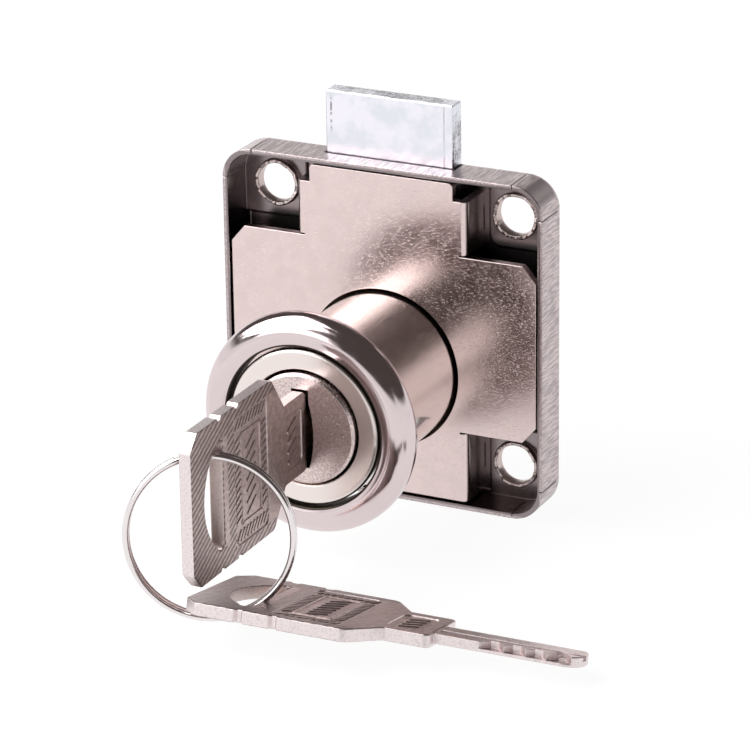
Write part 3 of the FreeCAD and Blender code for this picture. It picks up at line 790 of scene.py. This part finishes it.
def make_key_blade():
    """Blade with its two long grooves and the V-shaped cuts."""
    shape = outline([(SHOULDER - 0.5, -BLADE_BOTTOM, 0), (TIP, -BLADE_BOTTOM, NOSE_R),
                     (TIP, BLADE_TOP, NOSE_R), (SHOULDER - 0.5, BLADE_TOP, 0)], 10)
    blade = rounded_plate([shape], BLADE_BACK, KEY_HALF_T, BLADE_EDGE)
    grooves = [box(SHOULDER + 0.1, TIP + 1, v0, v1, bottom, 1.5) for v0, v1, bottom in BLADE_GROOVES]
    blade = carved(blade, joined(*grooves))
    for number, depth in enumerate(CUT_DEPTHS):
        if depth:
            u = SHOULDER + CUT_FIRST + CUT_PITCH * number
            wide = CUT_HALF_FLAT + CUT_FLANK * (depth + CUT_OVER)
            start, end = -BLADE_BOTTOM - CUT_OVER, depth - BLADE_BOTTOM
            cut = [(u - wide, start), (u + wide, start), (u + CUT_HALF_FLAT, end), (u - CUT_HALF_FLAT, end)]
            blade = carved(blade, prism(cut, CUT_BOTTOM, 1.6))
    return blade


def make_key_mesh():
    """Whole key: one metal on faces and relief, one on its sides, and a darker copy of that, as painted
    shade, in the slot; its map is (u, v).
    """
    plate = make_key_plate()
    blade = make_key_blade()
    plain = len(plate.polygons) + len(blade.polygons)
    whole = weighted(joined(plate, blade, *(key_strokes(-1) + key_strokes(1))), KEY_SHARP)
    for polygon in whole.polygons:
        u, v, _ = polygon.center
        in_slot = SLOT_FROM < u < SLOT_TO and abs(v) < SLOT_HALF
        side = polygon.index < plain and abs(polygon.normal.z) < SIDE_SLOPE
        polygon.material_index = (SLOT if in_slot else SIDE) if side else FACE
    face_map = whole.uv_layers.new(name=KEY_MAP)
    for loop in whole.loops:
        face_map.data[loop.index].uv = whole.vertices[loop.vertex_index].co.xy
    return whole


# Split ring, hung in the slot of the key in the lock, its axis turned and leaning
RING_R = 9.19
RING_WIRE = 0.75
RING_PITCH = 0.84                       # between its two turns
RING_TURN = math.radians(21.48)
RING_LEAN = math.radians(6.64)
RING_START = 114.0                      # degrees, as are the next three
RING_LENGTH = 698.0
STEP_FROM = 338.0                       # where the wire changes over, behind the key's bow
STEP_LENGTH = 22.0
RING_STEPS = 340
RING_SIDES = 14
RING_SHARP = 50                         # degrees
RING_HANG = Vector((-0.42, 6.08, 4.69))  # top of the wire's centre line, from the key's origin
KEY_ORIGIN = Vector((0, KEY_STOP - SHOULDER, 0))
ring_axis = Vector((math.sin(RING_TURN) * math.cos(RING_LEAN), -math.cos(RING_TURN) * math.cos(RING_LEAN),
                    math.sin(RING_LEAN)))
ring_across = Vector((0, 0, 1)).cross(ring_axis).normalized()
ring_up = ring_axis.cross(ring_across)
ring_middle = KEY_ORIGIN + RING_HANG - ring_up * RING_R

# Spare key: its origin from the bottom of the wire's centre line, and its turns in degrees
SPARE_FROM_RING = Vector((-1.97, 3.8, 1.0))
SPARE_TURNS = ((-13.79, "X"), (0.829, "Y"), (5.9, "Z"))


def make_keys():
    mesh = make_key_mesh()
    spare = mesh.copy()
    metals = (key_nickel, key_bright, key_shade_in_slot)
    upright = Matrix(((0, 0, 1, 0), (1, 0, 0, 0), (0, 1, 0, 0), (0, 0, 0, 1)))
    place("key_in_plug", mesh, "key", metals, ["key_in_lock"],
          Matrix.Translation(KEY_ORIGIN) @ upright)
    turn = Matrix.Identity(4)
    for degrees, axis in SPARE_TURNS:
        turn = turn @ Matrix.Rotation(math.radians(degrees), 4, axis)
    at = ring_middle - ring_up * RING_R + SPARE_FROM_RING
    place("key_on_ring", spare, "spare", metals, ["spare_key"], Matrix.Translation(at) @ turn)


def make_ring():
    """Two turns of wire side by side, with a step where the wire changes over."""
    verts = []
    for k in range(RING_STEPS + 1):
        run = RING_LENGTH * k / RING_STEPS
        share = min(1.0, max(0.0, (run - STEP_FROM) / STEP_LENGTH))
        share = share * share * (3 - 2 * share)
        angle = math.radians(RING_START + run)
        out = ring_across * math.cos(angle) + ring_up * math.sin(angle)
        centre = ring_middle + out * RING_R + ring_axis * ((share - 0.5) * RING_PITCH)
        for n in range(RING_SIDES):
            turn = math.tau * n / RING_SIDES
            verts.append(centre + (out * math.cos(turn) + ring_axis * math.sin(turn)) * (RING_WIRE / 2))
    faces = []
    for k in range(RING_STEPS):
        for n in range(RING_SIDES):
            a = k * RING_SIDES + n
            b = k * RING_SIDES + (n + 1) % RING_SIDES
            faces.append((a, b, b + RING_SIDES, a + RING_SIDES))
    faces.append(tuple(range(RING_SIDES)))
    faces.append(tuple(reversed(range(RING_STEPS * RING_SIDES, (RING_STEPS + 1) * RING_SIDES))))
    mesh = solid("ring", verts, faces)
    finish_mesh(mesh, RING_SHARP)
    place("split_ring", mesh, "ring", (ring_metal,), ["key_ring"])


make_collar()
make_lips()
make_keys()
make_ring()


# Studio: a plain pale floor, a white wall all round that fades upwards, and a dim ceiling
WHITE = (1, 1, 1, 1)
FLOOR_Z = -16.25                # millimetres, the case's lower edge
FLOOR_HALF = 6.0                # metres
FLOOR_COLOR = (0.93, 0.91, 0.91, 1)
FLOOR_WHITE = 1.06
WHITE_SHARE = 0.88              # the rest of what is seen of the floor is lit, and carries the shadow
CEILING_COLOR = (1.0, 0.86, 0.80, 1)
CEILING_LEVEL = 0.08
WALL_TOP = (0.12, 0.20)         # sine of the elevation at which the wall starts to fade, and has gone


def stage_material():
    """White to camera, glossy and transmission rays alike, and it keeps the object's shadow."""
    material = bpy.data.materials.new("stage_white")
    material.use_nodes = True
    t = Tree(material.node_tree)
    rays = t.add("ShaderNodeLightPath").outputs
    seen = t.larger(t.larger(rays["Is Camera Ray"], rays["Is Glossy Ray"]), rays["Is Transmission Ray"])
    lit = t.add("ShaderNodeBsdfDiffuse", Color=FLOOR_COLOR)
    white = t.add("ShaderNodeEmission", Color=WHITE, Strength=FLOOR_WHITE)
    t.surface("ShaderNodeOutputMaterial", lit, white, t.times(seen, WHITE_SHARE))
    return material


def make_floor():
    mesh = bpy.data.meshes.new("floor")
    corners = [(side_x * FLOOR_HALF, side_y * FLOOR_HALF, FLOOR_Z * MM)
               for side_x, side_y in ((-1, -1), (1, -1), (1, 1), (-1, 1))]
    mesh.from_pydata(corners, [], [(0, 1, 2, 3)])
    floor = bpy.data.objects.new("floor", mesh)
    mesh.materials.append(stage_material())
    scene.collection.objects.link(floor)


def make_world():
    world = bpy.data.worlds.new("world")
    scene.world = world
    world.use_nodes = True
    t = Tree(world.node_tree)
    ceiling = t.add("ShaderNodeBackground", Color=CEILING_COLOR, Strength=CEILING_LEVEL)
    wall = t.add("ShaderNodeBackground", Color=WHITE)
    height = t.axes(t.add("ShaderNodeTexCoord").outputs["Generated"])[2]
    fade = t.add("ShaderNodeMapRange", From_Min=WALL_TOP[1], From_Max=WALL_TOP[0])
    t.link(height, fade.inputs["Value"])
    t.surface("ShaderNodeOutputWorld", ceiling, wall, fade.outputs["Result"])


def make_light(name, spot, size, radiance):
    """Soft box of an even radiance, aimed at the origin, with its place and size in metres."""
    data = bpy.data.lights.new(name, "AREA")
    data.shape = "RECTANGLE"
    data.size, data.size_y = size
    data.energy = radiance * math.pi * size[0] * size[1]
    light = bpy.data.objects.new(name, data)
    light.location = spot
    light.rotation_euler = (-Vector(spot)).to_track_quat("-Z", "Y").to_euler()
    scene.collection.objects.link(light)


make_camera()
make_floor()
make_world()
make_light("softbox_top", (-0.34, -0.20, 0.40), (0.50, 0.55), 4.4)
make_light("softbox_left", (-0.38, -0.66, 0.30), (0.50, 0.35), 2.4)
make_light("backdrop_glow", (-0.05, 0.60, 0.17), (0.80, 0.34), 0.85)
